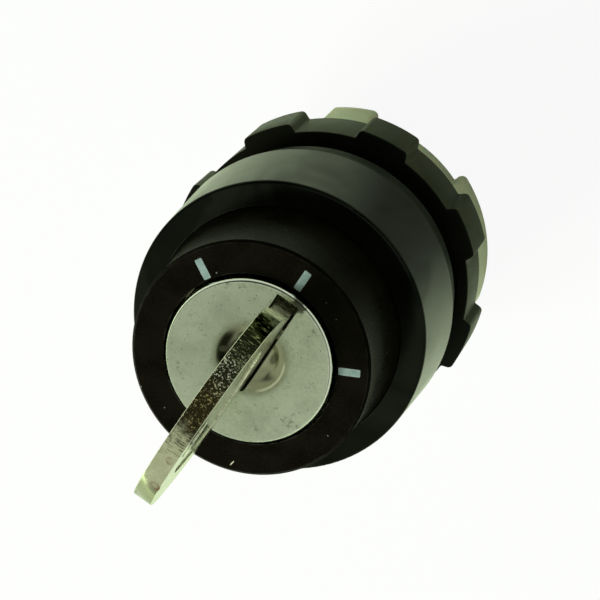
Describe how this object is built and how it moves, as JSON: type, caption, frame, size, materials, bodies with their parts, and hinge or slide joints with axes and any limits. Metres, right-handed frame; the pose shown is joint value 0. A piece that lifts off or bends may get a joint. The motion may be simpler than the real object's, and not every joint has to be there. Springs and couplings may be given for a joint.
{
  "type": "key switch",
  "caption": "Key-operated selector switch head for a round panel hole, with a turning wafer lock, a removable key, a locking nut and a bayonet coupling ring.",
  "frame": {"origin": "centre of the barrel's rear rim, on the lock's axis", "axes": "+Z along the lock's axis towards the operator, +Y to the middle index mark (12 o'clock), +X to the right as the operator sees it"},
  "size_m": [0.0326, 0.0326, 0.0667],
  "materials": {
    "satin_black_ring": "satin, fine moulded",
    "hub_black": "matte, warm black",
    "mark_grey": "printed inlay, pale grey",
    "barrel_black": "moulded glass-filled nylon",
    "gasket_black": "soft, dull",
    "nut_black": "moulded nylon",
    "ivory_nylon": "natural nylon, waxy",
    "die_cast": "die-cast zinc, plated",
    "seal_rubber": "O-ring rubber",
    "lock_face_metal": "stamped, bead-blasted stainless",
    "brass": "machined",
    "spring_steel": "wire",
    "key_metal": "nickel-plated, worn",
    "cam_white": "acetal",
    "screw_steel": "zinc-plated"
  },
  "bodies": {
    "housing": {"barrel": "barrel_black", "bezel": "satin_black_ring", "hub": "hub_black", "index_marks": "mark_grey", "gasket": "gasket_black", "lock_shell": "die_cast", "shell_seal": "seal_rubber", "face_seal": "seal_rubber", "rear_guide": "nut_black", "detent_ball": "screw_steel", "detent_spring": "spring_steel", "spring_left": "spring_steel", "spring_right": "spring_steel"},
    "rotor": {"lock_plug": "die_cast", "lock_cap": "lock_face_metal", "wafer_1": "brass", "wafer_2": "brass", "wafer_3": "brass", "wafer_4": "brass", "wafer_5": "brass", "wafer_springs": "spring_steel", "plug_clip": "spring_steel", "cam": "cam_white", "cam_screw": "screw_steel"},
    "key": {"key": "key_metal"},
    "nut": {"mounting_nut": "nut_black"},
    "ring": {"coupling_ring": "ivory_nylon"},
    "left_plunger": {"plunger_left": "cam_white"},
    "right_plunger": {"plunger_right": "cam_white"}
  },
  "joints": [
    {"name": "key_turn", "type": "hinge", "parent": "housing", "child": "rotor", "pos_m": [0, 0, 0.044], "axis": [0, 0, 1], "range_deg": [-60, 60]},
    {"name": "key_draw", "type": "slide", "parent": "rotor", "child": "key", "axis": [0, 0, 1], "range_m": [0, 0.0205]},
    {"name": "nut_turn", "type": "hinge", "parent": "housing", "child": "nut", "pos_m": [0, 0, 0.014], "axis": [0, 0, 1], "continuous": true},
    {"name": "ring_turn", "type": "hinge", "parent": "housing", "child": "ring", "pos_m": [0, 0, 0.0077], "axis": [0, 0, 1], "range_deg": [0, 30]},
    {"name": "plunger_left_slide", "type": "slide", "parent": "housing", "child": "left_plunger", "axis": [0, 0, -1], "range_m": [-0.00121, 0.00121], "deforming": ["spring_left"]},
    {"name": "plunger_right_slide", "type": "slide", "parent": "housing", "child": "right_plunger", "axis": [0, 0, -1], "range_m": [-0.00121, 0.00121], "deforming": ["spring_right"]}
  ],
  "couplings": [
    {"joint": "plunger_left_slide", "follows": "key_turn", "m_per_rad": -0.0011459},
    {"joint": "plunger_right_slide", "follows": "key_turn", "m_per_rad": 0.0011459}
  ]
}
